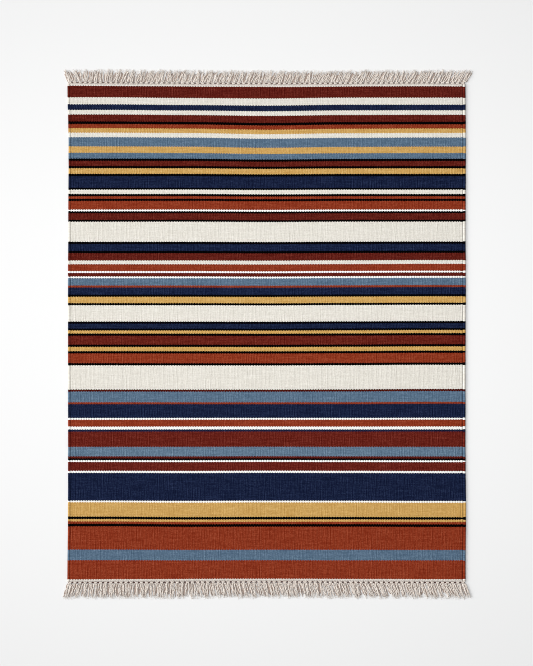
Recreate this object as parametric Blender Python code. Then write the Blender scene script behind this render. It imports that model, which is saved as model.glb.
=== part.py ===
"""A flat-woven kilim of wool stripes on cotton warps, 1.2 m wide and 1.6 m long with its knotted fringe.

It lies flat: one woven field with a corded selvedge down each side, and at each end a narrow undyed band
from which the warps hang in knotted locks. Metres, +Z up. The stripes run along X, the warps along Y, and
the origin is on the floor under the middle of the whole piece.
"""

import math
import random

import bmesh
import bpy

# Driving dimensions
CLOTH_WIDTH = 1.200
FIELD_LENGTH = 1.486
CLOTH_THICKNESS = 0.0040
BAND_DEPTH = 0.0060
BAND_THICKNESS = 0.0030
FAR_REACH = 0.0435
NEAR_REACH = 0.054
PIECE_GAP = 0.0003

# The warps are knotted in fours, so the knots share out the width
KNOTS = 78
KNOT_PITCH = CLOTH_WIDTH / KNOTS
ROOT_WIDTH = 0.0084

# The field's centre is a little off the origin, because the near fringe is the longer one
FIELD_CENTRE_Y = 0.0046
HALF_WIDTH = CLOTH_WIDTH / 2
HALF_LENGTH = FIELD_LENGTH / 2

# The weave's own unevenness
FIELD_ROWS = 26
PLAIN_COLUMNS = 11
UNDERSIDE_INSET = 0.0012
SWELL_HEIGHT = 0.00025
SWELL_WAVE_X = 0.37
SWELL_WAVE_Y = 0.45

# Across a selvedge: the distance in from the cloth's edge, and the height of the upper face there. The left
# cord holds two warps and the right one three
LEFT_SELVEDGE = (
    (0.0000, 0.0022),  # outermost turn of the cord
    (0.0012, 0.0042),
    (0.0040, 0.0050),  # crown of the cord
    (0.0064, 0.0042),
    (0.0078, 0.0022),  # groove beside it
    (0.0090, 0.0040),  # plain cloth
)
RIGHT_SELVEDGE = (
    (0.0000, 0.0022),  # outermost turn of the cord
    (0.0014, 0.0042),
    (0.0046, 0.0050),  # crown of the cord
    (0.0074, 0.0042),
    (0.0090, 0.0022),  # groove beside it
    (0.0106, 0.0040),  # plain cloth
)

# How far each side stands out from a straight line, from the near end (-1) to the far end (+1)
# place, left side, right side
SIDE_BULGE = (
    (-1.00, 0.0017, -0.0002),
    (-0.72, -0.0002, 0.0011),
    (-0.45, -0.0004, -0.0004),
    (-0.10, -0.0003, -0.0002),
    (0.20, -0.0002, 0.0007),
    (0.40, -0.0008, -0.0001),
    (0.75, -0.0020, 0.0008),
    (1.00, 0.0015, -0.0003),
)

# How far each end stands out from a straight line, from the left side (-1) to the right side (+1)
# place, near end, far end
END_BOW = (
    (-1.00, 0.0013, 0.0024),
    (-0.60, 0.0003, 0.0008),
    (-0.20, -0.0008, -0.0008),
    (0.10, -0.0009, -0.0015),
    (0.55, 0.0000, 0.0004),
    (0.85, 0.0006, 0.0008),
    (1.00, 0.0007, 0.0000),
)

# One lock from its root to its tip, level on the floor all along. A section's distance out from the band is
# a fixed length, plus a share of what is left of the lock
# fixed length, share of the rest, width, height
LOCK_SECTIONS = (
    (0.0026, 0.00, 0.0096, 0.0056),  # the knot, on the band's side
    (0.0056, 0.00, 0.0090, 0.0052),  # the knot, on the tail's side
    (0.0082, 0.00, 0.0068, 0.0032),  # neck
    (0.0082, 0.45, 0.0122, 0.0030),  # the four warps spread out
    (0.0082, 1.00, 0.0126, 0.0018),  # tip
)

# How far sideways a lock's tip lies from its root, from the left side (-1) to the right side (+1)
# place, near end, far end
LEAN = (
    (-1.00, -0.0195, -0.0190),
    (-0.86, -0.0020, 0.0040),
    (-0.72, -0.0035, 0.0120),
    (-0.42, -0.0010, 0.0115),
    (-0.22, 0.0145, 0.0120),
    (0.10, 0.0090, 0.0155),
    (0.45, 0.0185, 0.0165),
    (0.68, 0.0150, 0.0165),
    (0.90, 0.0235, 0.0190),
    (1.00, 0.0205, 0.0235),
)
LEAN_POWER = 1.1
LENGTH_VARIATION = 0.16
SEED = 11


def read_table(rows, place, column):
    """The value of a short table at a place between two of its rows, easing from one row to the next."""
    for lower, upper in zip(rows, rows[1:]):
        if place <= upper[0]:
            share = max(0.0, (place - lower[0]) / (upper[0] - lower[0]))
            ease = share * share * (3 - 2 * share)
            return lower[column] + (upper[column] - lower[column]) * ease
    return rows[-1][column]


def end_edge(x, far):
    """Y of the field's end at x."""
    place = x / HALF_WIDTH
    if far:
        return FIELD_CENTRE_Y + HALF_LENGTH + read_table(END_BOW, place, 2)
    return FIELD_CENTRE_Y - HALF_LENGTH - read_table(END_BOW, place, 1)


def cloth_x(x, along):
    """X of a point of the cloth, moved by the bulge of the side that it is on."""
    if x < 0:
        return x * (1 + read_table(SIDE_BULGE, along, 1) / HALF_WIDTH)
    return x * (1 + read_table(SIDE_BULGE, along, 2) / HALF_WIDTH)


def top_height(x, y):
    """Height of the field's upper face: a cord and a groove near each side, a slow swell between them."""
    selvedge = LEFT_SELVEDGE if x < 0 else RIGHT_SELVEDGE
    inward = HALF_WIDTH - abs(x)
    if inward < selvedge[-1][0]:
        return read_table(selvedge, inward, 1)
    swell = math.sin(math.tau * x / SWELL_WAVE_X) * math.sin(math.tau * y / SWELL_WAVE_Y)
    return CLOTH_THICKNESS + SWELL_HEIGHT * swell


def field_columns():
    """X of the field's columns of points: close together over each selvedge, wide apart between them."""
    left = [-HALF_WIDTH + row[0] for row in LEFT_SELVEDGE]
    right = [HALF_WIDTH - row[0] for row in reversed(RIGHT_SELVEDGE)]
    plain = (right[0] - left[-1]) / (PLAIN_COLUMNS + 1)
    middle = [left[-1] + plain * step for step in range(1, PLAIN_COLUMNS + 1)]
    return left + middle + right


def thicken(bm):
    """Gives a grid an underside and walls, and returns the points of the underside."""
    made = bmesh.ops.extrude_face_region(bm, geom=bm.faces[:])
    return [item for item in made["geom"] if isinstance(item, bmesh.types.BMVert)]


def finish_node(bm, name, material):
    """Turns the faces outwards and makes the object."""
    bmesh.ops.recalc_face_normals(bm, faces=bm.faces[:])
    mesh = bpy.data.meshes.new(name)
    bm.to_mesh(mesh)
    bm.free()
    mesh.materials.append(material)
    node = bpy.data.objects.new(name, mesh)
    bpy.context.scene.collection.objects.link(node)
    return node


def yarn_material(name, colour, roughness):
    """Matt yarn."""
    material = bpy.data.materials.new(name)
    material.use_nodes = True
    shader = material.node_tree.nodes["Principled BSDF"]
    shader.inputs["Base Color"].default_value = (*colour, 1.0)
    shader.inputs["Roughness"].default_value = roughness
    shader.inputs["Metallic"].default_value = 0.0
    return material


def woven_field(material):
    """The cloth: a grid for the upper face, thickened down to the floor, its edges wandering a little."""
    columns = field_columns()
    last_column = len(columns) - 1
    bm = bmesh.new()
    bmesh.ops.create_grid(bm, x_segments=last_column, y_segments=FIELD_ROWS, size=1)
    upper = bm.verts[:]
    places = [(round((v.co.x + 1) / 2 * last_column), v.co.y) for v in upper]
    for vert, (column, along) in zip(upper, places):
        x = columns[column]
        near = end_edge(x, far=False)
        far = end_edge(x, far=True)
        y = near + (far - near) * (along + 1) / 2
        vert.co = (cloth_x(x, along), y, top_height(x, y))
    inset = 1 - UNDERSIDE_INSET / HALF_WIDTH
    for vert in thicken(bm):
        vert.co.x *= inset
        vert.co.z = 0.0
    return finish_node(bm, "woven_field", material)


def band_columns():
    """X of the band's columns of points: both sides of each knot's root, and the band's two ends."""
    centres = [-HALF_WIDTH + KNOT_PITCH * (knot + 0.5) for knot in range(KNOTS)]
    roots = [x + side * ROOT_WIDTH / 2 for x in centres for side in (-1, 1)]
    return [-HALF_WIDTH] + roots + [HALF_WIDTH]


def left_to_right(faces):
    """Faces in order of X, because an operator hands them back in its own order."""
    return sorted(faces, key=lambda face: face.calc_center_median().x)


def end_band(far):
    """The narrow undyed band along one end, and the faces of its outer wall that the knots grow from."""
    columns = band_columns()
    last_column = len(columns) - 1
    outward = 1 if far else -1
    bm = bmesh.new()
    bmesh.ops.create_grid(bm, x_segments=last_column, y_segments=1, size=1)
    for vert in bm.verts:
        x = columns[round((vert.co.x + 1) / 2 * last_column)]
        depth = BAND_DEPTH if vert.co.y > 0 else 0.0
        y = end_edge(x, far) + outward * (PIECE_GAP + depth)
        vert.co = (cloth_x(x, outward), y, BAND_THICKNESS)
    for vert in thicken(bm):
        vert.co.z = 0.0
    return bm, left_to_right(outer_wall(bm, far))[1::2]


def outer_wall(bm, far):
    """The upright faces of the band that look away from the field."""
    found = []
    for face in bm.faces:
        centre = face.calc_center_median()
        reach = abs(centre.y - end_edge(centre.x, far))
        if len({round(v.co.z, 5) for v in face.verts}) == 2 and reach > BAND_DEPTH * 0.75:
            found.append(face)
    return found


def knotted_fringe(name, far, reach, material):
    """One end of the cloth: the band, and a knotted lock drawn out of each root, section by section."""
    rng = random.Random(f"{SEED} {name}")
    outward = 1 if far else -1
    bm, faces = end_band(far)
    roots = [face.calc_center_median() for face in faces]
    lengths = [reach * (1 - LENGTH_VARIATION * rng.random()) for _ in roots]
    leans = [read_table(LEAN, root.x / HALF_WIDTH, 2 if far else 1) for root in roots]
    for fixed, share, width, height in LOCK_SECTIONS:
        drawn_out = bmesh.ops.extrude_discrete_faces(bm, faces=faces)
        faces = left_to_right(drawn_out["faces"])
        for face, root, length, lean in zip(faces, roots, lengths, leans):
            run = fixed + share * (length - fixed)
            sideways = lean * (run / length) ** LEAN_POWER
            centre = face.calc_center_median()
            for vert in face.verts:
                half = width / 2 if vert.co.x > centre.x else -width / 2
                z = height if vert.co.z > centre.z else 0.0
                vert.co = (root.x + sideways + half, root.y + outward * run, z)
    return finish_node(bm, name, material)


for leftover in list(bpy.data.objects):
    bpy.data.objects.remove(leftover)

striped_wool = yarn_material("striped_wool", (0.30, 0.23, 0.20), 0.90)
undyed_cotton = yarn_material("undyed_cotton", (0.60, 0.54, 0.46), 0.92)

woven_field(striped_wool)
knotted_fringe("fringe_far", True, FAR_REACH, undyed_cotton)
knotted_fringe("fringe_near", False, NEAR_REACH, undyed_cotton)
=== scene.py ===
# %% [markdown]
# # A striped kilim with a knotted fringe
# A kilim is woven flat, without pile. Cotton warps run along its length, and thick wool wefts are beaten
# down over them until no warp shows, so the whole face is wool. This script dresses the plain solids of
# the rug with its cloth and its fringe, sets them on a pale floor and looks straight down on them.

import math
import random
from collections import namedtuple

import bmesh
import bpy
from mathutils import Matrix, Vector, noise


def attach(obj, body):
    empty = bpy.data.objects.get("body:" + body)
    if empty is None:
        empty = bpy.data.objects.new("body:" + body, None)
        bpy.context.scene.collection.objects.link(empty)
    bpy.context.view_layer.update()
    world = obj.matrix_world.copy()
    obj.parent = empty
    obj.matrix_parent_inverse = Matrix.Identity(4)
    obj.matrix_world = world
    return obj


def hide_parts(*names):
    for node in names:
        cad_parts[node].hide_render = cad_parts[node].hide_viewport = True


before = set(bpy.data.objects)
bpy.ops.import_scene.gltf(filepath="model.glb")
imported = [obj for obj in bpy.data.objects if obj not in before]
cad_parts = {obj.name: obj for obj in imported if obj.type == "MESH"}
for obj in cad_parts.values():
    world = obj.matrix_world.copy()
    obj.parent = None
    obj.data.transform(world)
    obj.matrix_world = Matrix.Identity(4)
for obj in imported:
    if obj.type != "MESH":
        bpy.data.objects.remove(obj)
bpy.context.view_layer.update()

# %% [markdown]
# ## The rug's sizes
# These repeat the named sizes of the solids, in metres. The stripes run along X, the warps along Y, and
# the far end (+Y) is the photo's top. There are 312 warps, knotted in fours.

# %% Sizes that the solids and the scene share
MILLIMETRE = 0.001

CLOTH_WIDTH = 1.200
FIELD_LENGTH = 1.486
FIELD_CENTRE_Y = 0.0046
CLOTH_THICKNESS = 0.0040
BAND_DEPTH = 0.0060
HALF_WIDTH = CLOTH_WIDTH / 2
HALF_LENGTH = FIELD_LENGTH / 2

KNOTS = 78
WARPS_PER_KNOT = 4
WARPS = KNOTS * WARPS_PER_KNOT
WARP_PITCH = CLOTH_WIDTH / WARPS
KNOT_PITCH = CLOTH_WIDTH / KNOTS
PASS_PITCH = 0.00144
print(f"warps every {WARP_PITCH / MILLIMETRE:.2f} mm, knots every {KNOT_PITCH / MILLIMETRE:.1f} mm")

# %% [markdown]
# ## How the edges wander
# A loom never gives a true rectangle: the sides bulge and draw in by a millimetre or two, and the ends
# bow. The small tables say how far, and a curve eases from one row to the next. The same tables shape the
# solids, so the cloth stays where they are.

# %% Tables of the edges
# place from near end (-1) to far end (+1), left side, right side
SIDE_BULGE = (
    (-1.00, 0.0017, -0.0002),
    (-0.72, -0.0002, 0.0011),
    (-0.45, -0.0004, -0.0004),
    (-0.10, -0.0003, -0.0002),
    (0.20, -0.0002, 0.0007),
    (0.40, -0.0008, -0.0001),
    (0.75, -0.0020, 0.0008),
    (1.00, 0.0015, -0.0003),
)
# place from left side (-1) to right side (+1), near end, far end
END_BOW = (
    (-1.00, 0.0013, 0.0024),
    (-0.60, 0.0003, 0.0008),
    (-0.20, -0.0008, -0.0008),
    (0.10, -0.0009, -0.0015),
    (0.55, 0.0000, 0.0004),
    (0.85, 0.0006, 0.0008),
    (1.00, 0.0007, 0.0000),
)


def read_table(rows, place, column):
    """The value of a short table at a place between two of its rows, easing from one row to the next."""
    for lower, upper in zip(rows, rows[1:]):
        if place <= upper[0]:
            share = max(0.0, (place - lower[0]) / (upper[0] - lower[0]))
            ease = share * share * (3 - 2 * share)
            return lower[column] + (upper[column] - lower[column]) * ease
    return rows[-1][column]


def side_shift(x, along):
    """How far a point of the cloth moves sideways with the bulge of its side."""
    column = 1 if x < 0 else 2
    return x * read_table(SIDE_BULGE, along, column) / HALF_WIDTH


def end_edge(x, far):
    """Y of the wool field's end at x."""
    bow = read_table(END_BOW, x / HALF_WIDTH, 2 if far else 1)
    return FIELD_CENTRE_Y + HALF_LENGTH + bow if far else FIELD_CENTRE_Y - HALF_LENGTH - bow


print(f"field from y {end_edge(0, False):.4f} to {end_edge(0, True):.4f}")

# %% [markdown]
# ## The weaver's plan
# The rug has no picture on it, only cross stripes in a few dyes, one of the oldest patterns there is. An
# image of it would blur when seen close, so the pattern is kept as a weaver keeps it: a plan that lists
# the stripes from the far end to the near end, with their widths in millimetres. A stripe always has a
# whole number of passes of the weft, so each width is turned into passes. At both ends four passes of
# undyed cotton lock the weave.

# %% Dyes, as linear colours
DYES = {
    "undyed": (0.8500, 0.7820, 0.7100),
    "maroon": (0.1151, 0.0138, 0.0086),
    "claret": (0.1347, 0.0161, 0.0098),
    "wine": (0.0700, 0.0075, 0.0055),
    "cream": (0.8167, 0.7810, 0.7028),
    "white": (0.9600, 0.9500, 0.9200),
    "navy": (0.0095, 0.0158, 0.0469),
    "rust": (0.2679, 0.0390, 0.0146),
    "mustard": (0.6334, 0.3761, 0.1136),
    "blue": (0.1055, 0.1696, 0.2480),
    "pale blue": (0.1269, 0.1984, 0.2787),
    "black": (0.0010, 0.0006, 0.0007),
}
print(f"{len(DYES)} colours of yarn")

# %% Stripes from the far end to the near end: dye, width in millimetres
STRIPES = (
    ("maroon", 34.5), ("cream", 21), ("navy", 17), ("cream", 13.5), ("maroon", 21),
    ("black", 8), ("rust", 12.5), ("mustard", 13.5), ("cream", 13.5), ("blue", 27.5),
    ("mustard", 19), ("blue", 17), ("black", 7), ("maroon", 15), ("black", 7),
    ("mustard", 16.5), ("black", 7), ("navy", 35), ("black", 5.5), ("cream", 13),
    ("black", 7), ("rust", 7.5), ("black", 6.5), ("rust", 26), ("white", 5),
    ("black", 6), ("maroon", 19.5), ("black", 6), ("cream", 60), ("black", 7),
    ("navy", 20.5), ("black", 7), ("maroon", 22), ("cream", 11), ("rust", 21),
    ("white", 5), ("maroon", 11), ("white", 5), ("blue", 22), ("rust", 6),
    ("navy", 21.5), ("black", 6.5), ("mustard", 19), ("black", 6.5), ("cream", 49),
    ("black", 6.5), ("navy", 14.5), ("black", 6), ("mustard", 9), ("black", 7),
    ("claret", 26.5), ("black", 7), ("mustard", 12.5), ("black", 7), ("rust", 29),
    ("black", 7), ("cream", 74), ("wine", 5), ("blue", 32), ("rust", 5.5),
    ("navy", 42), ("white", 5), ("rust", 21), ("white", 8.5), ("navy", 6.5),
    ("claret", 46), ("pale blue", 28.5), ("maroon", 6), ("black", 6), ("white", 5),
    ("claret", 27), ("white", 6), ("navy", 84), ("white", 5), ("mustard", 43.5),
    ("black", 7.5), ("mustard", 7), ("rust", 7), ("black", 8), ("rust", 69.5),
    ("blue", 31.5), ("rust", 56.5),
)
print(f"{len(STRIPES)} stripes, {sum(width for _, width in STRIPES):.0f} mm")

# %% Turn the plan into passes
BAND_PASSES = 4

# first: its first pass, next: the first pass after it, start and end: metres from the wool's far edge
Stripe = namedtuple("Stripe", "dye first next start end")


def weave_plan():
    """All stripes with the undyed bands, in passes and in metres that are scaled to fit the field."""
    fit = FIELD_LENGTH / sum(width for _, width in STRIPES)
    plan = [Stripe("undyed", 0, BAND_PASSES, -BAND_DEPTH, 0.0)]
    for dye, width in STRIPES:
        first, start = plan[-1].next, plan[-1].end
        passes = round(width * MILLIMETRE / PASS_PITCH)
        plan.append(Stripe(dye, first, first + passes, start, start + width * fit))
    first = plan[-1].next
    plan.append(Stripe("undyed", first, first + BAND_PASSES, FIELD_LENGTH, FIELD_LENGTH + BAND_DEPTH))
    return plan


plan = weave_plan()
print(f"{len(plan)} stripes with the bands, {plan[-1].next} passes")

# %% [markdown]
# ## The cloth
# The weft goes over one warp and under the next, so the face is made of upright ribs, one over each warp.
# They could be bump alone, but then they would be lost in a low view and in the exported mesh. A grid
# gives them: two columns of points for each warp, one on its crest and one in the valley beside it, and a
# row of points at every change of dye. The reed of the loom held the warps in pairs, so the valley
# between two pairs is the deeper one, and no loom spaces them quite evenly. The outermost warps are
# bundled into a cord, the selvedge, with a groove beside it. The right cord is the thicker, and a second
# groove lies one warp further in.

# %% Columns of points: place across, warps counted from the left, height
# a column of the left cord and one of the right, each as: metres in from the edge, warps in, height
SELVEDGE = (
    (0.0000, 0.98, 0.0022, 0.0002, 2.16, 0.0024),
    (0.0012, 1.02, 0.0041, 0.0009, 2.20, 0.0040),
    (0.0028, 1.24, 0.0049, 0.0022, 2.28, 0.0045),
    (0.0046, 1.50, 0.0050, 0.0050, 2.50, 0.0046),
    (0.0064, 1.80, 0.0043, 0.0071, 2.80, 0.0041),
    (0.0078, 1.97, 0.0018, 0.0085, 2.97, 0.0018),
    (0.0088, 2.12, 0.0040, 0.0096, 3.12, 0.0040),
)
LEFT_CORD_WARPS = 2
RIGHT_CORD_WARPS = 3
RIB_CREST = 0.00022
PAIR_VALLEY = -0.00026
REED_VALLEY = -0.00030
SECOND_GROOVE = -0.0012
SECOND_GROOVE_WARP = WARPS - RIGHT_CORD_WARPS - 1
# the reed's unevenness: how far a warp may move, how many warps a change takes, where the noise is read
UNEVEN = 0.0014
UNEVEN_WARPS = 5
UNEVEN_PLACE = (0.5, 7.0)


def cloth_columns():
    """X, warp count and height of each column of points, from the left side to the right side."""
    left = [(-HALF_WIDTH + inward, count, height) for inward, count, height, _, _, _ in SELVEDGE]
    right = [(HALF_WIDTH - inward, WARPS - count, height) for _, _, _, inward, count, height in SELVEDGE]
    middle = []
    # two steps for each warp, so four for each pair
    for step in range(2 * LEFT_CORD_WARPS + 1, 2 * (WARPS - RIGHT_CORD_WARPS)):
        count = step / 2
        valley = REED_VALLEY if step % 4 == 0 else PAIR_VALLEY
        if count == SECOND_GROOVE_WARP:
            valley = SECOND_GROOVE
        height = CLOTH_THICKNESS + (RIB_CREST if step % 2 else valley)
        shift = UNEVEN * noise.noise(Vector((count / UNEVEN_WARPS, *UNEVEN_PLACE)))
        middle.append((-HALF_WIDTH + count * WARP_PITCH + shift, count, height))
    return left + middle + right[::-1]


columns = cloth_columns()
print(f"{len(columns)} columns of points")

# %% Rows of points: distance from the wool's far edge, passes counted from the far end
WIDEST_ROW = 0.026


def cloth_rows():
    """A row at every change of dye, and more across a wide stripe."""
    rows = [(plan[0].start, 0)]
    for _, first, following, start, end in plan:
        parts = math.ceil((end - start) / WIDEST_ROW)
        for part in range(1, parts + 1):
            share = part / parts
            rows.append((start + (end - start) * share, first + (following - first) * share))
    return rows


rows = cloth_rows()
print(f"{len(rows)} rows of points, {2 * (len(rows) - 1) * (len(columns) - 1)} triangles on the face")

# %% [markdown]
# ## How the stripes wander
# Hand-beaten wefts aren't straight either. A stripe rises and sinks by a millimetre or two on its way
# across, and the next one does nearly the same. The table tells how much lower than a straight line a
# stripe lies, at five places across the cloth. It is read down first and then across. Close to an end the
# stripes follow that end's bow instead.

# %% Wander of the stripes
WANDER_PLACES = (-0.8, -0.4, 0.0, 0.4, 0.8)
# share of the way from the far end, millimetres lower at each of the places, from left to right
WANDER = (
    (0.00, -1.7, 0.8, 1.9, -0.7, -0.4),
    (0.10, -1.7, -0.6, 3.0, 0.2, -0.8),
    (0.20, -0.2, -0.4, 0.9, -0.2, -0.1),
    (0.40, 0.3, 0.3, 0.9, -0.3, -1.1),
    (0.60, 0.3, 0.6, 0.7, 0.0, -1.4),
    (0.70, 0.3, -0.1, -0.1, 0.1, -0.1),
    (0.80, -0.3, 0.3, -0.6, -0.1, 0.6),
    (0.90, -1.2, 0.5, -0.1, -0.1, 0.7),
    (1.00, 0.0, 0.1, -0.3, 0.3, -0.1),
)
END_REACH = 0.030
SWELL_HEIGHT = 0.00025
SWELL_WAVE_X = 0.37
SWELL_WAVE_Y = 0.45


def wander(place, share):
    """How much lower than a straight line a stripe lies, at a place from left (-1) to right (+1)."""
    across = [(at, read_table(WANDER, share, column)) for column, at in enumerate(WANDER_PLACES, 1)]
    return read_table(across, place, 1) * MILLIMETRE


def stripe_y(x, distance):
    """Y of the point that is this far along the cloth from the wool's far edge, at x."""
    share = min(1.0, max(0.0, distance / FIELD_LENGTH))
    free = min(1.0, max(0.0, min(distance, FIELD_LENGTH - distance) / END_REACH))
    straight = FIELD_CENTRE_Y + HALF_LENGTH - distance
    held = end_edge(x, share < 0.5) - (FIELD_CENTRE_Y + math.copysign(HALF_LENGTH, 0.5 - share))
    return straight + held * (1 - free) - wander(x / HALF_WIDTH, share) * free


def swell(x, y):
    """A slow rise and fall of the face, because the cloth was beaten unevenly."""
    return SWELL_HEIGHT * math.sin(math.tau * x / SWELL_WAVE_X) * math.sin(math.tau * y / SWELL_WAVE_Y)


print(f"a stripe in the middle lies {wander(0, 0.5) / MILLIMETRE:.1f} mm low")

# %% [markdown]
# ## Weaving the grid
# `create_grid` makes the face flat and square. Each point is then set in its place, and its warp and pass
# counts are kept on the point, because the pattern is drawn from them. The face is drawn down to the
# floor for the underside. Solidify would double the ribs there, which nobody sees, so its spare long
# edges are dissolved instead.

# %% Face, sides and underside
UNDERSIDE_INSET = 0.0012
UNDERSIDE_COLUMNS = 12
# a ripple along the sides: how far it moves the edge, how long it is, where the noise is read
SIDE_RIPPLE = 0.0005
SIDE_RIPPLE_LENGTH = 0.04
SIDE_PLACE = 3


def place_grid(bm, counts):
    """Sets a unit grid's points on the cloth and notes their warp and pass counts, and their column."""
    last_column, last_row = len(columns) - 1, len(rows) - 1
    for vert in bm.verts:
        column = round((vert.co.x + 1) / 2 * last_column)
        row = round((1 - vert.co.y) / 2 * last_row)
        x, warps, height = columns[column]
        distance, passes = rows[row]
        along = 1 - 2 * distance / FIELD_LENGTH
        y = stripe_y(x, distance)
        place = Vector((math.copysign(SIDE_PLACE, x), y / SIDE_RIPPLE_LENGTH, 0.0))
        ripple = SIDE_RIPPLE * noise.noise(place)
        shift = side_shift(x, along) + ripple * abs(x) / HALF_WIDTH
        vert.co = (x + shift, y, height + swell(x, y))
        vert[counts] = (warps, passes, column)


def close_underside(bm, counts):
    """Draws the face down to the floor, then clears the underside's long edges."""
    made = bmesh.ops.extrude_face_region(bm, geom=bm.faces[:])
    below = {item for item in made["geom"] if isinstance(item, bmesh.types.BMVert)}
    inset = 1 - UNDERSIDE_INSET / HALF_WIDTH
    for vert in below:
        vert.co.x *= inset
        vert.co.z = 0.0
    last = len(columns) - 1
    kept = {round(last * part / UNDERSIDE_COLUMNS) for part in range(UNDERSIDE_COLUMNS + 1)}
    spare = []
    for edge in bm.edges:
        one, other = edge.verts
        column = round(one[counts].z)
        if column == round(other[counts].z) and column not in kept and (one in below or other in below):
            spare.append(edge)
    bmesh.ops.dissolve_edges(bm, edges=spare, use_verts=True)


def weave_cloth():
    """The woven cloth as one closed mesh."""
    bm = bmesh.new()
    bmesh.ops.create_grid(bm, x_segments=len(columns) - 1, y_segments=len(rows) - 1, size=1)
    counts = bm.verts.layers.float_vector.new("counts")
    place_grid(bm, counts)
    close_underside(bm, counts)
    bmesh.ops.recalc_face_normals(bm, faces=bm.faces[:])
    return bm, counts


cloth_bm, counts = weave_cloth()
print(f"cloth: {len(cloth_bm.verts)} points, {len(cloth_bm.faces)} faces")

# %% [markdown]
# ## Two maps on the cloth
# The map `weave` counts warps and passes, so the pattern follows the cloth wherever it wanders. The
# second map lays the cloth out flat, which is how its pattern is kept when the rug is exported. Face and
# underside share it, since a kilim looks the same from both sides.

# %% Write both maps and make the object
MAP_MARGIN = 0.004


def write_maps(bm, counts):
    """Copies each point's counts into one map, and its place on the flat cloth into the other."""
    weave = bm.loops.layers.uv.new("weave")
    flat = bm.loops.layers.uv.new("OFBake")
    half_y = HALF_LENGTH + BAND_DEPTH
    for face in bm.faces:
        face.smooth = True
        for loop in face.loops:
            x, y, _ = loop.vert.co
            loop[weave].uv = loop.vert[counts].xy
            across = 0.5 + x / (2 * HALF_WIDTH) * (1 - 2 * MAP_MARGIN)
            along = 0.5 + (y - FIELD_CENTRE_Y) / (2 * half_y) * (1 - 2 * MAP_MARGIN)
            loop[flat].uv = (across, along)


def make_piece(name, bm):
    """Turns a bmesh into an object at the origin."""
    mesh = bpy.data.meshes.new(name)
    bm.to_mesh(mesh)
    bm.free()
    piece = bpy.data.objects.new(name, mesh)
    bpy.context.scene.collection.objects.link(piece)
    return piece


write_maps(cloth_bm, counts)
cloth = make_piece("striped_cloth", cloth_bm)
print(f"{cloth.name}: size {[round(side, 4) for side in cloth.dimensions]}")

# %% [markdown]
# ## Writing shaders as sums
# Shader maths is easier to read as sums than as a list of nodes. The small class below stands for one
# output of a node. Adding or multiplying two of them, or one and a number, adds the Math node that does
# it. Any other node comes from its one method `node`.

# %% One class for shader maths
# a Mix node set to colours has its factor at input 0, its colours at 6 and 7, and its result at output 2
MIX_FACTOR, MIX_ONE, MIX_OTHER, MIX_RESULT = 0, 6, 7, 2


class Wire:
    """One output of a node in a material. Sums of wires and numbers add Math nodes."""

    def __init__(self, tree, socket=None):
        self.tree = tree
        self.socket = socket

    def node(self, kind, settings=None, values=None, output=0):
        """Adds a node with these settings, and values or wires at its inputs. Gives back one output."""
        made = self.tree.nodes.new("ShaderNode" + kind)
        for name, value in (settings or {}).items():
            if name == "stops":
                set_stops(made.color_ramp, value)
            else:
                setattr(made, name, value)
        set_inputs(self.tree, made, values or {})
        return Wire(self.tree, made.outputs[output])

    def math(self, operation, *values):
        return self.node("Math", {"operation": operation}, dict(enumerate(values)))

    def __add__(self, other):
        return self.math("ADD", self, other)

    def __sub__(self, other):
        return self.math("SUBTRACT", self, other)

    def __rsub__(self, other):
        return self.math("SUBTRACT", other, self)

    def __mul__(self, other):
        return self.math("MULTIPLY", self, other)

    def __truediv__(self, other):
        return self.math("DIVIDE", self, other)

    __radd__ = __add__
    __rmul__ = __mul__

    def mix(self, one, other):
        """A colour between two, with this wire as the share of the second."""
        sockets = {MIX_FACTOR: self, MIX_ONE: one, MIX_OTHER: other}
        return self.node("Mix", {"data_type": "RGBA"}, sockets, MIX_RESULT)

    def scaled(self, factor):
        """This colour, lighter or darker."""
        return self.node("VectorMath", {"operation": "SCALE"}, {0: self, "Scale": factor})

    def vector(self, y):
        """A flat vector of this wire and another."""
        return self.node("CombineXYZ", values={"X": self, "Y": y})


def set_inputs(tree, node, values):
    """Links the wires among these values to the node's inputs, and sets the numbers and colours there."""
    for name, value in values.items():
        if isinstance(value, Wire):
            tree.links.new(value.socket, node.inputs[name])
        else:
            node.inputs[name].default_value = value


def set_stops(ramp, stops):
    """Gives a ramp one flat colour from each stop to the next."""
    ramp.interpolation = "CONSTANT"
    for place, colour in stops[1:]:
        ramp.elements.new(place).color = (*colour, 1.0)
    ramp.elements[0].position = stops[0][0]
    ramp.elements[0].color = (*stops[0][1], 1.0)
    ramp.elements.remove(ramp.elements[-1])


print("Wire is ready: its sums use + - * /")

# %% [markdown]
# ## The wool
# Seen close, the face is built of grains. A grain is the stretch of weft that passes over one warp: it is
# as wide as the warp's rib and two passes tall, because every second pass goes under that warp. The
# grains of the next rib stand one pass higher, like bricks, so the passes that meet at a change of dye
# interlock like teeth. Rounding the counts of the map finds the grain that a point lies in, and with it
# the warp and the pass. The pass then looks up its dye in the weaver's plan. A small wave bends the rib's
# sides, so that a grain is widest at its middle.

# %% Which grain a point lies in
GRAIN_TAPER = 0.24
GRAIN_PASSES = 2
FIRST_MIDDLE = 0.5


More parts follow.
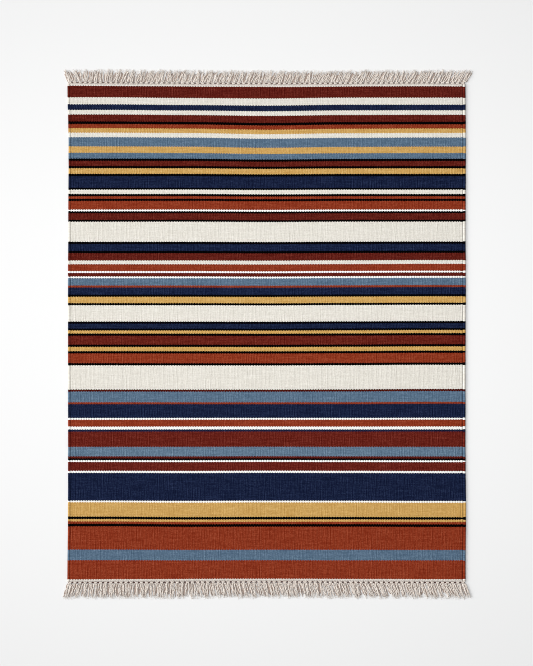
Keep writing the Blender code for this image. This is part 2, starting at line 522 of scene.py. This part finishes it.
def grains(wire):
    """Warp, pass and roundness of each point's grain, and its counts from the first grain's middle."""
    count = wire.node("UVMap", {"uv_map": "weave"})
    warps = wire.node("SeparateXYZ", values={0: count}, output="X") - FIRST_MIDDLE
    passes = wire.node("SeparateXYZ", values={0: count}, output="Y") - FIRST_MIDDLE
    wave = wire.math("COSINE", passes * math.pi) * wire.math("SINE", warps * math.pi)
    bent = warps - wave * GRAIN_TAPER
    column = wire.math("ROUND", bent)
    number = wire.math("ROUND", (passes - column) / GRAIN_PASSES) * GRAIN_PASSES + column
    # both run from -1 to 1 over the grain
    across = (bent - column) * 2
    along = passes - number
    roundness = (1 - across * across) * (1 - along * along)
    return column, number, roundness, warps, passes


grain_size = [round(side / MILLIMETRE, 1) for side in (WARP_PITCH, GRAIN_PASSES * PASS_PITCH)]
print(f"a grain is {grain_size[0]} mm wide and {grain_size[1]} mm tall")

# %% The dye of a pass
# A ramp is stored as 256 colours. Its stops lie halfway between two of them, and a pass is looked up half a
# step past its own, so that no pass falls on a stop.
RAMP_STEPS = 255
HALF_STEP = 0.5
RAMP_STRIPES = 12


def dye_of(passes):
    """The colour of a pass. A ramp tells 255 passes apart, so the plan is cut into short ramps."""
    colour = None
    for first in range(0, len(plan), RAMP_STRIPES):
        part = plan[first : first + RAMP_STRIPES]
        start = part[0].first
        starts = [max(0, stripe.first - start - HALF_STEP) / RAMP_STEPS for stripe in part]
        stops = [(place, DYES[stripe.dye]) for place, stripe in zip(starts, part)]
        place = (passes - start + HALF_STEP) / RAMP_STEPS
        ramp = place.node("ValToRGB", {"stops": stops}, {0: place})
        after = passes.math("GREATER_THAN", passes, start - HALF_STEP)
        colour = ramp if colour is None else after.mix(colour, ramp)
    return colour


print(f"{math.ceil(len(plan) / RAMP_STRIPES)} ramps for {len(plan)} stripes")

# %% [markdown]
# ## The wool's colour
# Three things make a dyed stripe uneven. The warps lie in pairs, and for a few centimetres one side of
# each pair looks lighter than the other, which draws streaks along the ribs. Each length of weft took the
# dye a little differently, which draws thin lines across. And single grains differ. Their sum, with a
# little painted shade in the deeper valleys between pairs, is the `change`. A Gamma node makes it strong in
# dark dyes and faint in pale ones, as on real wool.

# %% How uneven the dye is
STREAK_CHANGE = 0.36
STREAK_WARPS = 4.0
STREAK_PASSES = 28.0
# painted shade: a fixed share of the streaks that darkens the deeper valleys between pairs of warps and
# lightens those within a pair
PAIR_PAINTED_SHADE = 0.012
YARN_CHANGE = 0.19
YARN_WARPS = 15.0
YARN_PASSES = 1.9
# where the noise of the yarns is read, away from that of the streaks
YARN_PLACE = 90
GRAIN_CHANGE = 0.16
TEXTURE_MIDDLE = 0.5


def soft_noise(wire, across, along, detail=0.0):
    """Smooth noise around zero, one lump for each unit of the two counts."""
    values = {"Vector": across.vector(along), "Scale": 1.0, "Detail": detail}
    return wire.node("TexNoise", {"noise_dimensions": "2D"}, values) - TEXTURE_MIDDLE


def dye_change(wire, column, number, warps, passes):
    """How much lighter the wool is than its dye, from streaks, lengths of weft and single grains, with
    painted shade in the deeper valleys between pairs.
    """
    # the streaks' noise is uneven dye; the fixed share added to it is painted shade, darker in the deeper
    # valleys between pairs
    streak = soft_noise(wire, warps / STREAK_WARPS, passes / STREAK_PASSES) * STREAK_CHANGE + PAIR_PAINTED_SHADE
    yarn = soft_noise(wire, warps / YARN_WARPS + YARN_PLACE, number / YARN_PASSES) * YARN_CHANGE
    values = {"Vector": column.vector(number)}
    grain = wire.node("TexWhiteNoise", {"noise_dimensions": "2D"}, values) - TEXTURE_MIDDLE
    return wire.math("SINE", warps * math.pi) * streak + yarn + grain * GRAIN_CHANGE


print(f"a streak is about {STREAK_PASSES * PASS_PITCH / MILLIMETRE:.0f} mm long")

# %% The wool's material
GRAIN_HEIGHT = 0.0008
# painted shade between the grains: how much darker the wool is there
VALLEY_SHADE = 0.08
# how much of the change lightens the colour as well
LIGHTER = 0.48
FIBRES_PER_WARP = 2.2
FIBRES_PER_PASS = 5
FIBRE_DETAIL = 2.0
FIBRE_SHARE = 0.25
WOOL_ROUGHNESS = 0.95
WOOL_SPECULAR = 0.02


def new_material(name, roughness, specular):
    """A material with one Principled shader, and a wire to build on."""
    material = bpy.data.materials.new(name)
    material.use_nodes = True
    shader = material.node_tree.nodes["Principled BSDF"]
    set_inputs(material.node_tree, shader, {"Roughness": roughness, "Specular IOR Level": specular})
    return material, Wire(material.node_tree), shader


def wool_material():
    """Dyed wool: the dye of each pass, uneven as above, darker between the grains as painted shade, with
    fine fibres.
    """
    material, wire, shader = new_material("striped_wool_weave", WOOL_ROUGHNESS, WOOL_SPECULAR)
    column, number, roundness, warps, passes = grains(wire)
    change = dye_change(wire, column, number, warps, passes)
    uneven = wire.node("Gamma", values={0: dye_of(number), 1: 1 - change})
    colour = uneven.scaled((change * LIGHTER + 1) * (1 - (1 - roundness) * VALLEY_SHADE))
    fibres = soft_noise(wire, warps * FIBRES_PER_WARP + passes, passes * FIBRES_PER_PASS, FIBRE_DETAIL)
    height = roundness + fibres * FIBRE_SHARE
    bump = wire.node("Bump", values={"Height": height, "Distance": GRAIN_HEIGHT})
    set_inputs(wire.tree, shader, {"Base Color": colour, "Normal": bump})
    return material


wool = wool_material()
cloth.data.materials.append(wool)
print(f"{wool.name}: {len(wool.node_tree.nodes)} nodes")

# %% [markdown]
# ## The fringe
# At each end the warps leave the cloth, gather in fours into a knot, and hang free beyond it. A warp is
# two plies twisted together, so each strand is drawn as two thin lines that wind round each other and
# part at the tip. Hair particles would be quicker to set up, but a rug's fringe is made of yarns that one
# can count. Blender's curves turn a line into a round yarn, with a thickness at each point.

# %% Drawing yarns
# sides of a yarn: 4 for a resolution of 0, 6 for 1
PLY_ROUNDNESS = 0
KNOT_ROUNDNESS = 1


def new_yarns(name, roundness):
    """An empty set of round yarns."""
    yarns = bpy.data.curves.new(name, "CURVE")
    yarns.dimensions = "3D"
    yarns.bevel_depth = 1.0
    yarns.bevel_resolution = roundness
    yarns.use_fill_caps = True
    return yarns


def draw_yarn(yarns, points, thicknesses):
    """Adds one yarn along the points, half a thickness to each side."""
    spline = yarns.splines.new("POLY")
    spline.points.add(len(points) - 1)
    for point, place, thickness in zip(spline.points, points, thicknesses):
        point.co = (*place, 1.0)
        point.radius = thickness / 2


print(f"plies have {4 + 2 * PLY_ROUNDNESS} sides, the yarns of a knot {4 + 2 * KNOT_ROUNDNESS}")

# %% [markdown]
# ## Where the strands lie
# A strand is limp and rests on the floor, or on the strands that were laid before it. Simulating hundreds
# of them would take long and show the same, so a coarse height map of the floor keeps track instead: each
# strand is raised to what lies under it, eased so that it doesn't jump, and then drawn into the map
# itself.

# %% A height map of what already lies on the floor
CELL = 0.0010
# a strand is carried by what lies within this share of its half width
CARRIED_SHARE = 0.6
EASE_ROUNDS = 2


class Heap:
    """How high the strands lie at each spot of the floor."""

    def __init__(self):
        self.tops = {}

    def spots(self, x, y, reach):
        """The cells under a round yarn, with how far each is from its middle."""
        cells = math.ceil(reach / CELL)
        middle_x, middle_y = round(x / CELL), round(y / CELL)
        for step_x in range(-cells, cells + 1):
            for step_y in range(-cells, cells + 1):
                away = math.hypot(step_x, step_y) * CELL
                if away <= reach:
                    yield (middle_x + step_x, middle_y + step_y), away

    def under(self, x, y, reach):
        """Height of the highest thing under the yarn's middle."""
        return max(self.tops.get(cell, 0.0) for cell, _ in self.spots(x, y, reach * CARRIED_SHARE))

    def lay(self, points, reach):
        """Draws a yarn into the map."""
        for x, y, z in points:
            for cell, away in self.spots(x, y, reach):
                top = z + math.sqrt(max(0.0, reach * reach - away * away))
                self.tops[cell] = max(self.tops.get(cell, 0.0), top)


def settle(heights, floor_height):
    """Eases a strand's heights so that it climbs and falls gently."""
    eased = list(heights)
    for _ in range(EASE_ROUNDS):
        middle = [max(h, (a + h + b) / 3) for a, h, b in zip(eased, eased[1:], eased[2:])]
        eased = [eased[0], *middle, eased[-1]]
    return [max(floor_height, h) for h in eased]


print("a strand over a bump of 2:", [round(h, 2) for h in settle([1, 1, 2, 1, 1], 1)])

# %% [markdown]
# ## The fan of a lock
# The strands leave their knot close together, fan out at once and wave, because they were twisted tight
# on the loom. The locks lean with the way the rug was shaken out: to the left near the left corners, to
# the right farther along. Neighbours lean alike, in tufts, and a few strands stray across the others.

# %% Sizes of the fringe
FAR_REACH = 0.0435
NEAR_REACH = 0.054
# place from left side (-1) to right side (+1), near end, far end: how far the tip lies sideways
LEAN = (
    (-1.00, -0.0195, -0.0190),
    (-0.86, -0.0020, 0.0040),
    (-0.72, -0.0035, 0.0120),
    (-0.42, -0.0010, 0.0115),
    (-0.22, 0.0145, 0.0120),
    (0.10, 0.0090, 0.0155),
    (0.45, 0.0185, 0.0165),
    (0.68, 0.0150, 0.0165),
    (0.90, 0.0235, 0.0190),
    (1.00, 0.0205, 0.0235),
)
LEAN_POWER = 1.1
# how far from the cloth the knots lie, and how far each may stray sideways
KNOT_OUT = 0.0044
KNOT_JITTER = 0.0007
# where the strands leave the knot, and how far apart they lie there
NECK_OUT = 0.0072
NECK_SPREAD = 0.0024
# how far apart they lie once they have fanned out, and how long that takes
FAN_SPREAD = 0.0038
FAR_FAN_DEPTH = 0.0110
NEAR_FAN_DEPTH = 0.0040
TUFT_LEAN = 0.006
TUFT_WIDTH = 0.030
# the longest strand as a share of the fringe's reach, and how much shorter one may be
STRAND_REACH = 0.93
UNEVEN_LENGTH = 0.15
STRAND_POINTS = 16
PLY_THICKNESS = 0.0019
PLY_OFFSET = 0.00060
LAY_LENGTH = 0.0115
SEED = 11
print(f"the fringes reach {FAR_REACH / MILLIMETRE:.1f} and {NEAR_REACH / MILLIMETRE:.1f} mm")

# %% One strand's path on the floor
FAR_TUFTS = 9.3
NEAR_TUFTS = 2.3
STRAY = 0.0040
WILD_STRAY = (0.007, 0.014)
WILD_STRANDS = 0.20
WAVE_SIZE = (0.0003, 0.0009)
WAVE_LENGTH = (0.012, 0.028)
WAVES = 2
WAVE_GROWTH = 0.25


def lock_lean(x, far):
    """How far sideways the tip of a lock lies: what the table says, and a tuft's own lean."""
    tuft = noise.noise(Vector((x / TUFT_WIDTH, FAR_TUFTS if far else NEAR_TUFTS, 0.0)))
    return read_table(LEAN, x / HALF_WIDTH, 2 if far else 1) + TUFT_LEAN * tuft


def strand_stray(rng, x):
    """How far a strand's own tip lies from its lock's. A corner's strands don't stray outwards."""
    if rng.random() > WILD_STRANDS:
        stray = rng.gauss(0, STRAY)
    else:
        stray = rng.choice((-1, 1)) * rng.uniform(*WILD_STRAY)
    at_corner = HALF_WIDTH - abs(x) < KNOT_PITCH
    return -math.copysign(abs(stray), x) if at_corner else stray


def random_waves(rng):
    """The waves along a strand: how wide, how long, and where in its swing each starts."""
    waves = []
    for _ in range(WAVES):
        waves.append((rng.uniform(*WAVE_SIZE), rng.uniform(*WAVE_LENGTH), rng.uniform(0, math.tau)))
    return waves


def wave_at(waves, run):
    """How far sideways the waves carry a strand at this distance from the cloth."""
    return sum(size * math.sin(math.tau * run / period + start) for size, period, start in waves)


def strand_path(rng, root, outward, number, length, lean):
    """Points of a strand from its knot to its tip, seen from above."""
    side = number - (WARPS_PER_KNOT - 1) / 2
    fan_depth = FAR_FAN_DEPTH if outward > 0 else NEAR_FAN_DEPTH
    stray = strand_stray(rng, root.x)
    waves = random_waves(rng)
    path = []
    for step in range(STRAND_POINTS):
        share = step / (STRAND_POINTS - 1)
        run = NECK_OUT + (length - NECK_OUT) * share
        fanned = min(1.0, (run - NECK_OUT) / fan_depth)
        spread = side * (NECK_SPREAD + (FAN_SPREAD - NECK_SPREAD) * fanned)
        sway = (lean + stray) * (run / length) ** LEAN_POWER
        x = root.x + spread + sway + wave_at(waves, run) * min(1.0, share / WAVE_GROWTH)
        path.append(Vector((x, root.y + outward * run, 0.0)))
    return path


print(f"{WILD_STRANDS:.0%} of the strands lie across their neighbours")

# %% Two plies wound round a strand's path
TIP_START = 0.65
TIP_PARTING = 1.3
TIP_TAPER = 0.65


def draw_strand(yarns, rng, path):
    """Draws the two plies of a strand, which part and thin out at the tip, and returns where they end."""
    start = rng.uniform(0, math.tau)
    tips = []
    for ply in (0, 1):
        points, thicknesses, run = [], [], 0.0
        for step, place in enumerate(path):
            before, after = path[max(0, step - 1)], path[min(len(path) - 1, step + 1)]
            if step:
                run += (place - path[step - 1]).length
            share = step / (len(path) - 1)
            forward = (after - before).normalized()
            sideways = forward.cross(Vector((0, 0, 1))).normalized()
            up = sideways.cross(forward)
            tip = max(0.0, share - TIP_START) / (1 - TIP_START)
            parted = PLY_OFFSET * (1 + TIP_PARTING * tip)
            turn = start + ply * math.pi + math.tau * run / LAY_LENGTH
            offset = sideways * math.cos(turn) * parted + up * math.sin(turn) * PLY_OFFSET
            points.append(place + offset)
            thicknesses.append(PLY_THICKNESS * (1 - TIP_TAPER * tip))
        draw_yarn(yarns, points, thicknesses)
        tips.append((points[-1], (points[-1] - points[-2]).normalized()))
    return tips


print(f"plies of {PLY_THICKNESS / MILLIMETRE:.1f} mm, one full turn in {LAY_LENGTH / MILLIMETRE:.1f} mm")

# %% Frayed ends
HAIRS = 4
HAIR_THICKNESS = 0.00036
# a fibre's length, and the shares of it that the shortest and the longest have
HAIR_LENGTH = 0.0056
HAIR_LENGTHS = (0.5, 1.2)
HAIR_TAPER = 0.4
# how far a fibre's end lies off the ply's line along X, Y and Z, as a share of the fibre's length
HAIR_TURN_X = 0.30
HAIR_TURN_Y = 0.12
HAIR_TURN_Z = (-0.25, 0.10)
# the share of that turn in its first half
HALFWAY_TURN = 0.15
# how deep in the ply the first fibre starts, and how much deeper each next one
HAIR_ROOT = 0.0006
HAIR_STEP = 0.00015


def draw_hairs(yarns, rng, tip, forward):
    """A few fibres that have worked loose at a ply's tip."""
    for hair in range(HAIRS):
        aside = Vector((rng.gauss(0, HAIR_TURN_X), rng.gauss(0, HAIR_TURN_Y), rng.uniform(*HAIR_TURN_Z)))
        reach = HAIR_LENGTH * rng.uniform(*HAIR_LENGTHS)
        middle = tip + (forward + aside * HALFWAY_TURN) * reach / 2
        end = tip + (forward + aside) * reach
        points = [tip - forward * (HAIR_ROOT + HAIR_STEP * hair), middle, end]
        for point in points:
            point.z = max(point.z, HAIR_THICKNESS / 2)
        draw_yarn(yarns, points, [HAIR_THICKNESS, HAIR_THICKNESS, HAIR_THICKNESS * HAIR_TAPER])


print(f"{HAIRS * 2 * WARPS} loose fibres at each end")

# %% [markdown]
# ## The knots
# Four warps are tied in one overhand knot, tight against the cloth. From above it shows two or three
# turns of yarn side by side over a lump, so it is drawn as a fat core with turns wound over it, and four
# short stems that come to it from the cloth. Between two knots a dark hole stays open.

# %% One knot
KNOT_HEIGHT = 0.0027
KNOT_TILT = 0.25
# the core: place across the knot, thickness there
KNOT_CORE = (
    (-0.0040, 0.0016),
    (-0.0026, 0.0040),
    (0.0000, 0.0046),
    (0.0026, 0.0040),
    (0.0040, 0.0016),
)
CORE_DROP = 0.0004
KNOT_TURNS = 3
TURN_POINTS = 7
TURN_THICKNESS = 0.0023
TURN_PITCH = 0.0025
TURN_JITTER = 0.0003
TURN_SLANT = (0.0010, 0.0018)
TURN_HALF_DEPTH = 0.0019
TURN_HALF_HEIGHT = 0.0016
TURN_START = -35
TURN_SWEEP = 250


def draw_turns(yarns, rng, middle):
    """The turns of yarn over the core, side by side and all slanting the same way."""
    slant = rng.choice((-1, 1)) * rng.uniform(*TURN_SLANT)
    for turn in range(KNOT_TURNS):
        x = (turn - (KNOT_TURNS - 1) / 2) * TURN_PITCH + rng.uniform(-TURN_JITTER, TURN_JITTER)
        points = []
        for step in range(TURN_POINTS):
            share = step / (TURN_POINTS - 1)
            angle = math.radians(TURN_START + TURN_SWEEP * share)
            y = math.cos(angle) * TURN_HALF_DEPTH
            z = math.sin(angle) * TURN_HALF_HEIGHT
            points.append(middle + Vector((x + slant * (2 * share - 1), y, z)))
        draw_yarn(yarns, points, [TURN_THICKNESS] * TURN_POINTS)


def draw_knot(yarns, rng, root, outward):
    """The lump, the turns round it and the stems of one knot."""
    middle = root + Vector((0, outward * KNOT_OUT, KNOT_HEIGHT))
    tilt = rng.uniform(-KNOT_TILT, KNOT_TILT)
    core = [middle + Vector((x, x * tilt, -CORE_DROP)) for x, _ in KNOT_CORE]
    draw_yarn(yarns, core, [thickness for _, thickness in KNOT_CORE])
    draw_turns(yarns, rng, middle)
    draw_stems(yarns, root, outward)


print(f"{KNOT_TURNS} turns of {TURN_THICKNESS / MILLIMETRE:.1f} mm yarn over each core")

# %% The stems of a knot
STEM_THICKNESS = 0.0019
STEM_PITCH = 0.0019
STEM_START_IN = 0.0012
STEM_START_HEIGHT = 0.0014
STEM_END_SHORT = 0.0006
STEM_END_HEIGHT = 0.0022
STEM_BOW = 0.0004
STEM_RISE = 0.0003


def draw_stems(yarns, root, outward):
    """The warps of one knot, from just inside the cloth to the lump, bowed a little apart."""
    for number in range(WARPS_PER_KNOT):
        side = number - (WARPS_PER_KNOT - 1) / 2
        start = root + Vector((side * WARP_PITCH, -outward * STEM_START_IN, STEM_START_HEIGHT))
        end = root + Vector((side * STEM_PITCH, outward * (KNOT_OUT - STEM_END_SHORT), STEM_END_HEIGHT))
        middle = start.lerp(end, 0.5) + Vector((side * STEM_BOW, 0, STEM_RISE))
        draw_yarn(yarns, [start, middle, end], [STEM_THICKNESS] * 3)


print(f"a knot is made of {1 + KNOT_TURNS + WARPS_PER_KNOT} yarns")

# %% [markdown]
# ## Laying one end's fringe
# Under the strands that show lie others, flat on the floor, coloured a darker grey-brown as painted shade
# for the shade of those above. They go in first. Between two knots lie two thick yarns along the cloth's
# end, coloured dark brown as painted shade for the holes there. Then the strands are laid in a random
# order, so that now one and now its neighbour lies on top. At the end the curves become one mesh, and the
# loose caps of each yarn are merged so that it is closed. No two yarns start at the same spot, or they
# would be merged too. A number kept on the points, `beneath`, tells the material what lies lowest, and so
# how much painted shade it gets.

# %% The lowest strands
LOW_STRANDS = 6
LOW_POINTS = 8
LOW_THICKNESS = 0.0023
LOW_START = 0.0070
LOW_REACH = 0.90
LOW_UNEVEN = 0.28
LOW_JITTER = 0.0004
LOW_TAPER = 0.6


def draw_low_strands(yarns, rng, root, outward, length, lean):
    """Strands on the floor, from just outside the knots to just short of the tips."""
    for number in range(LOW_STRANDS):
        side = (number - (LOW_STRANDS - 1) / 2) * KNOT_PITCH / LOW_STRANDS
        side += rng.uniform(-LOW_JITTER, LOW_JITTER)
        stray = rng.gauss(0, STRAY)
        waves = random_waves(rng)
        reach = length * LOW_REACH * (1 - LOW_UNEVEN * rng.random()) - LOW_START
        points = []
        for step in range(LOW_POINTS):
            run = LOW_START + reach * step / (LOW_POINTS - 1)
            x = root.x + side + (lean + stray) * (run / length) ** LEAN_POWER + wave_at(waves, run)
            points.append(Vector((x, root.y + outward * run, LOW_THICKNESS / 2)))
        draw_yarn(yarns, points, [LOW_THICKNESS] * (LOW_POINTS - 1) + [LOW_THICKNESS * LOW_TAPER])


print(f"{LOW_STRANDS * KNOTS} low strands at each end")

# %% Painted shade in the holes between the knots
# the yarns end just short of the sides, and lie so far apart, in thicknesses, that none touch
UNDER_INSET = 0.997
UNDER_SPACING = 1.03
UNDER_YARNS = 2
# distance of the first yarn from the band, thickness of each, the number kept on their points, which sets
# how dark their painted shade is
FAR_UNDER = (0.0023, 0.0017, 0.76)
NEAR_UNDER = (0.0018, 0.0019, 1.00)


def draw_hole_shade(yarns, far):
    """Lays dark yarns along the cloth's end, painted shade that shows in the holes between the knots, and
    returns its number `beneath`.
    """
    outward = 1 if far else -1
    start, thickness, share = FAR_UNDER if far else NEAR_UNDER
    for number in range(UNDER_YARNS):
        out = BAND_DEPTH + start + thickness * UNDER_SPACING * (number + 0.5)
        points = []
        for knot in range(KNOTS + 1):
            x = (-HALF_WIDTH + KNOT_PITCH * knot) * UNDER_INSET
            y = end_edge(x, far) + outward * out
            points.append(Vector((x + side_shift(x, outward), y, thickness / 2)))
        draw_yarn(yarns, points, [thickness] * len(points))
    return share


print(f"{UNDER_YARNS} yarns under each row of knots")

# %% Lay the strands
PRESSED = 0.5


def lay_strands(plies, hairs, rng, strands):
    """Lays each strand on the low ones or on the strands below, which give way by half, and draws it."""
    heap = Heap()
    radius = PLY_THICKNESS / 2 + PLY_OFFSET
    for path in strands:
        under = [max(LOW_THICKNESS, heap.under(point.x, point.y, radius)) for point in path]
        heights = settle([height * PRESSED + radius for height in under], radius)
        laid = [Vector((point.x, point.y, z)) for point, z in zip(path, heights)]
        heap.lay(laid, radius)
        for tip, forward in draw_strand(plies, rng, laid):
            draw_hairs(hairs, rng, tip, forward)


print(f"what lies under a strand gives way by {1 - PRESSED:.0%}")

# %% Join the yarns into one mesh
SAME_POINT = 0.000001


def join_yarns(name, sets):
    """Turns sets of yarns into one closed mesh, and keeps each set's number `beneath` on its points."""
    bm = bmesh.new()
    beneath = bm.verts.layers.float.new("beneath")
    for yarns, share in sets.items():
        holder = bpy.data.objects.new(yarns.name, yarns)
        mesh = bpy.data.meshes.new_from_object(holder)
        before = len(bm.verts)
        bm.from_mesh(mesh)
        bm.verts.ensure_lookup_table()
        for vert in bm.verts[before:]:
            vert[beneath] = share
        bpy.data.objects.remove(holder)
        bpy.data.curves.remove(yarns)
        bpy.data.meshes.remove(mesh)
    bmesh.ops.remove_doubles(bm, verts=bm.verts[:], dist=SAME_POINT)
    for face in bm.faces:
        face.smooth = True
    return make_piece(name, bm)


print(f"points within {SAME_POINT / MILLIMETRE:.3f} mm become one")

# %% One end's fringe
YARN_SETS = ("under", "low", "plies", "hairs")
ON_TOP = 0.0
# the number `beneath` of the low strands, which gives them painted shade
LOW_PAINTED_SHADE = 0.5


def lay_fringe(name, far, reach):
    """One end's knots, strands and frayed tips, as one object."""
    rng = random.Random(f"{SEED} {name}")
    outward = 1 if far else -1
    knots = new_yarns(name + "_knots", KNOT_ROUNDNESS)
    under, low, plies, hairs = [new_yarns(f"{name}_{part}", PLY_ROUNDNESS) for part in YARN_SETS]
    brown = draw_hole_shade(under, far)
    strands = []
    for knot in range(KNOTS):
        x = -HALF_WIDTH + KNOT_PITCH * (knot + 0.5) + rng.uniform(-KNOT_JITTER, KNOT_JITTER)
        root = Vector((x + side_shift(x, outward), end_edge(x, far) + outward * BAND_DEPTH, 0.0))
        draw_knot(knots, rng, root, outward)
        lean = lock_lean(x, far)
        draw_low_strands(low, rng, root, outward, reach, lean)
        for number in range(WARPS_PER_KNOT):
            length = reach * STRAND_REACH * (1 - UNEVEN_LENGTH * rng.random())
            strands.append(strand_path(rng, root, outward, number, length, lean))
    rng.shuffle(strands)
    lay_strands(plies, hairs, rng, strands)
    return join_yarns(name, {under: brown, low: LOW_PAINTED_SHADE, knots: ON_TOP, plies: ON_TOP, hairs: ON_TOP})


far_fringe = lay_fringe("far_fringe", True, FAR_REACH)
near_fringe = lay_fringe("near_fringe", False, NEAR_REACH)
for piece in (far_fringe, near_fringe):
    faces = sum(len(face.vertices) - 2 for face in piece.data.polygons)
    print(f"{piece.name}: {faces} triangles, {[round(side, 4) for side in piece.dimensions]}")

# %% [markdown]
# ## The undyed cotton
# Cotton warp is off-white and matt, and no two strands are quite alike. Giving each its own material
# would be the long way. Here the lighter and darker ones come from a random number that Blender has for
# each loose part of a mesh. The number `beneath` leads from clean yarn at 0 over yarn darkened by painted
# shade at a half to the dark painted shade of the holes between the knots at 1.

# %% The cotton's material
COTTON_LIGHT = (0.80, 0.746, 0.692, 1.0)
COTTON_DARK = (0.68, 0.60, 0.53, 1.0)
# painted shade on the low strands, which lie in the shade of those above
COTTON_PAINTED_SHADE = (0.48, 0.385, 0.33, 1.0)
# painted shade in the holes between the knots
HOLE_PAINTED_SHADE = (0.145, 0.074, 0.057, 1.0)
PATCH_SCALE = 130.0
COTTON_FIBRE_SCALE = 1800.0
COTTON_FIBRE_HEIGHT = 0.0003
COTTON_DETAIL = 2.0
COTTON_ROUGHNESS = 0.90
COTTON_SPECULAR = 0.15


def cotton_material():
    """Matt off-white yarn, each strand a little lighter or darker than the next, with painted shade on the
    low strands and on the yarns under the holes.
    """
    material, wire, shader = new_material("undyed_cotton_yarn", COTTON_ROUGHNESS, COTTON_SPECULAR)
    strand = wire.node("NewGeometry", output="Random Per Island")
    place = wire.node("TexCoord", output="Object")
    patches = wire.node("TexNoise", values={"Vector": place, "Scale": PATCH_SCALE, "Detail": COTTON_DETAIL})
    clean = (strand * 0.5 + patches * 0.5).mix(COTTON_DARK, COTTON_LIGHT)
    # painted shade: the number `beneath` turns the low strands a darker grey-brown and the yarns under the
    # holes darker still
    beneath = wire.node("Attribute", {"attribute_name": "beneath"}, output="Fac") / LOW_PAINTED_SHADE
    colour = (beneath - 1).mix(beneath.mix(clean, COTTON_PAINTED_SHADE), HOLE_PAINTED_SHADE)
    values = {"Vector": place, "Scale": COTTON_FIBRE_SCALE, "Detail": COTTON_DETAIL}
    fibres = wire.node("TexNoise", values=values)
    bump = wire.node("Bump", values={"Height": fibres, "Distance": COTTON_FIBRE_HEIGHT})
    set_inputs(wire.tree, shader, {"Base Color": colour, "Normal": bump})
    return material


cotton = cotton_material()
far_fringe.data.materials.append(cotton)
near_fringe.data.materials.append(cotton)
print(f"{cotton.name}: {len(cotton.node_tree.nodes)} nodes")

# %% [markdown]
# ## Putting each piece on the body
# The cloth stands for the woven field and each fringe for its own solid, which is hidden. All of them ride
# on the one body.

for piece, node, finish in (
    (cloth, "woven_field", "striped_wool"),
    (far_fringe, "fringe_far", "undyed_cotton"),
    (near_fringe, "fringe_near", "undyed_cotton"),
):
    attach(piece, "root")
    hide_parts(node)
print("pieces:", [piece.name for piece in (cloth, far_fringe, near_fringe)])

# %% [markdown]
# ## Floor, light and camera
# The rug was photographed from straight above on a white floor, under soft light. A long lens far away
# looks almost straight down at every part of the rug, nearly as an orthographic camera would. A long
# white lamp lies across overhead, and its light fades towards the picture's ends. The rest comes from
# windows on the left, far off, so they are suns with a wide angle: the light of the low one reaches under
# that of the high one, and the shadow along the right side fades slowly.

# %% Floor
FLOOR_HALF_SIZE = 30.0
FLOOR_COLOUR = (0.80, 0.80, 0.795, 1.0)
FLOOR_ROUGHNESS = 0.8
FLOOR_SPECULAR = 0.2


def make_floor():
    """A plain pale floor, which isn't part of the rug."""
    bm = bmesh.new()
    bmesh.ops.create_grid(bm, x_segments=1, y_segments=1, size=FLOOR_HALF_SIZE)
    floor = make_piece("floor", bm)
    material, wire, shader = new_material("pale_floor", FLOOR_ROUGHNESS, FLOOR_SPECULAR)
    set_inputs(wire.tree, shader, {"Base Color": FLOOR_COLOUR})
    floor.data.materials.append(material)
    return floor


floor = make_floor()
print(f"{floor.name}: {floor.dimensions.x:.0f} m wide")

# %% Clean, sharp pixels
scene = bpy.context.scene
scene.view_settings.view_transform = "Standard"
# without the light tree and with plain denoiser guides the empty floor stays free of blotches
scene.cycles.use_light_tree = False
scene.cycles.use_denoising = True
scene.cycles.denoising_prefilter = "NONE"
# a narrow pixel filter, because the photo is sharp
scene.cycles.filter_width = 1.0
print("view transform:", scene.view_settings.view_transform)

# %% Light
SKY_COLOUR = (0.97, 0.98, 1.0, 1.0)
SKY_STRENGTH = 0.31
LAMP_PLACE = (-0.4, 0.1, 2.0)
LAMP_AIM = (-0.4, 0.1, 0.0)
LAMP_LENGTH = 3.0
LAMP_WIDTH = 0.3
LAMP_POWER = 21.6
# name, where it stands, its width in degrees, strength
WINDOWS = (
    ("high_window", (-0.50, 0.10, 0.87), 20, 0.68),
    ("low_window", (-0.91, 0.10, 0.39), 30, 2.80),
)


def make_sky():
    """Even light from all round."""
    world = bpy.data.worlds.new("studio")
    world.use_nodes = True
    background = world.node_tree.nodes["Background"]
    background.inputs["Color"].default_value = SKY_COLOUR
    background.inputs["Strength"].default_value = SKY_STRENGTH
    scene.world = world


def add_light(name, kind, place, aim, strength):
    """Adds a light of this kind that shines from one place to another."""
    light = bpy.data.lights.new(name, kind)
    light.energy = strength
    holder = bpy.data.objects.new(name, light)
    holder.location = place
    holder.rotation_euler = (Vector(aim) - Vector(place)).to_track_quat("-Z", "Y").to_euler()
    holder.visible_camera = False
    scene.collection.objects.link(holder)
    return light


make_sky()
lamp = add_light("overhead", "AREA", LAMP_PLACE, LAMP_AIM, LAMP_POWER)
lamp.shape = "RECTANGLE"
lamp.size = LAMP_LENGTH
lamp.size_y = LAMP_WIDTH
for name, bearing, degrees, strength in WINDOWS:
    window = add_light(name, "SUN", bearing, (0.0, 0.0, 0.0), strength)
    window.angle = math.radians(degrees)
print(f"{1 + len(WINDOWS)} lights")

# %% Camera
CAMERA_PLACE = (-0.0009, 0.0038, 6.0)
# metres of floor from the picture's lower edge to its upper edge
VIEW_HEIGHT = 2.0101
SENSOR = 36.0

lens = bpy.data.cameras.new("camera")
lens.sensor_width = SENSOR
lens.lens = SENSOR * CAMERA_PLACE[2] / VIEW_HEIGHT
camera = bpy.data.objects.new("camera", lens)
camera.location = CAMERA_PLACE
scene.collection.objects.link(camera)
scene.camera = camera
print(f"lens of {lens.lens:.0f} mm")
